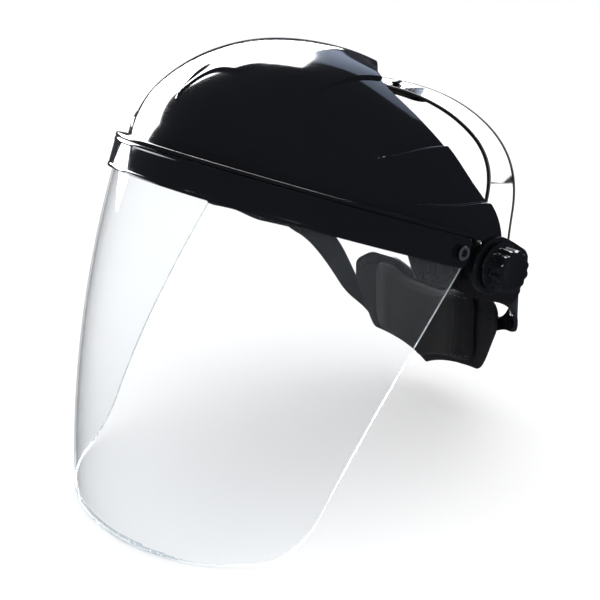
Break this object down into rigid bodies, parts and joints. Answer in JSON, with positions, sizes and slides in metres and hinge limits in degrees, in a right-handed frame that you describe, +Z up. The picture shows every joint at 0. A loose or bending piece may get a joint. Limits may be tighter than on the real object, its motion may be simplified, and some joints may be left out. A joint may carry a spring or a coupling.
{
  "type": "face shield",
  "caption": "Industrial face shield: glossy crown with a clear curved window that tilts on a ratchet headgear with an overhead strap and a nape knob.",
  "frame": {"origin": "centre of the flat outer face of the nape ratchet knob; the midpoint of the crown tilt axis is 81.7 mm forward of it and 74.0 mm above it", "axes": "+X towards the wearer's left, -Y the way the wearer looks, +Z up; the rim of the crown stands with its front 21.4 degrees high, as in the picture"},
  "size_m": [0.231, 0.2455, 0.2277],
  "materials": {
    "black_gloss": "gloss",
    "black_satin": "satin",
    "clear_sheet": "polished",
    "bright_stud": "polished",
    "zinc_steel": "satin",
    "brass": "satin",
    "grey_nylon": "matte",
    "foam_cloth": "matte"
  },
  "bodies": {
    "headgear": {"headband": "black_satin", "brow_pad": "foam_cloth", "left_crown_strap": "black_gloss", "right_crown_strap": "black_gloss", "left_strap_peg": "black_satin", "right_strap_peg": "black_satin", "left_pivot_bolt": "zinc_steel", "right_pivot_bolt": "zinc_steel", "left_pivot_spacer": "grey_nylon", "right_pivot_spacer": "grey_nylon", "left_spring_washer": "zinc_steel", "right_spring_washer": "zinc_steel", "nape_housing": "black_satin", "nape_cover": "black_satin", "nape_pad": "foam_cloth", "left_nape_screw": "zinc_steel", "right_nape_screw": "zinc_steel", "ratchet_spring": "zinc_steel"},
    "crown": {"crown_shell": "black_gloss", "window_band": "black_gloss", "window": "clear_sheet", "left_band_stud": "bright_stud", "right_band_stud": "bright_stud"},
    "left_knob": {"left_tension_knob": "black_gloss", "left_knob_nut": "brass"},
    "right_knob": {"right_tension_knob": "black_gloss", "right_knob_nut": "brass"},
    "ratchet": {"ratchet_knob": "black_gloss", "ratchet_pinion": "grey_nylon"},
    "left_strap": {"left_rear_strap": "black_satin"},
    "right_strap": {"right_rear_strap": "black_satin"}
  },
  "joints": [
    {"name": "crown_tilt", "type": "hinge", "parent": "headgear", "child": "crown", "pos_m": [0, -0.0817, 0.074], "axis": [-1, 0, 0], "range_deg": [0, 80]},
    {"name": "left_knob_turn", "type": "hinge", "parent": "headgear", "child": "left_knob", "pos_m": [0.11, -0.0817, 0.074], "axis": [1, 0, 0], "range_deg": [0, 360]},
    {"name": "right_knob_turn", "type": "hinge", "parent": "headgear", "child": "right_knob", "pos_m": [-0.11, -0.0817, 0.074], "axis": [-1, 0, 0], "range_deg": [0, 360]},
    {"name": "ratchet_turn", "type": "hinge", "parent": "headgear", "child": "ratchet", "pos_m": [0, -0.0117, 0], "axis": [0, -1, 0], "range_deg": [0, 83]},
    {"name": "left_strap_slide", "type": "slide", "parent": "headgear", "child": "left_strap", "axis": [-1, 0, 0], "range_m": [0, 0.008]},
    {"name": "right_strap_slide", "type": "slide", "parent": "headgear", "child": "right_strap", "axis": [1, 0, 0], "range_m": [0, 0.008]}
  ],
  "couplings": [
    {"joint": "left_strap_slide", "follows": "ratchet_turn", "m_per_rad": 0.0055},
    {"joint": "right_strap_slide", "follows": "ratchet_turn", "m_per_rad": 0.0055}
  ]
}
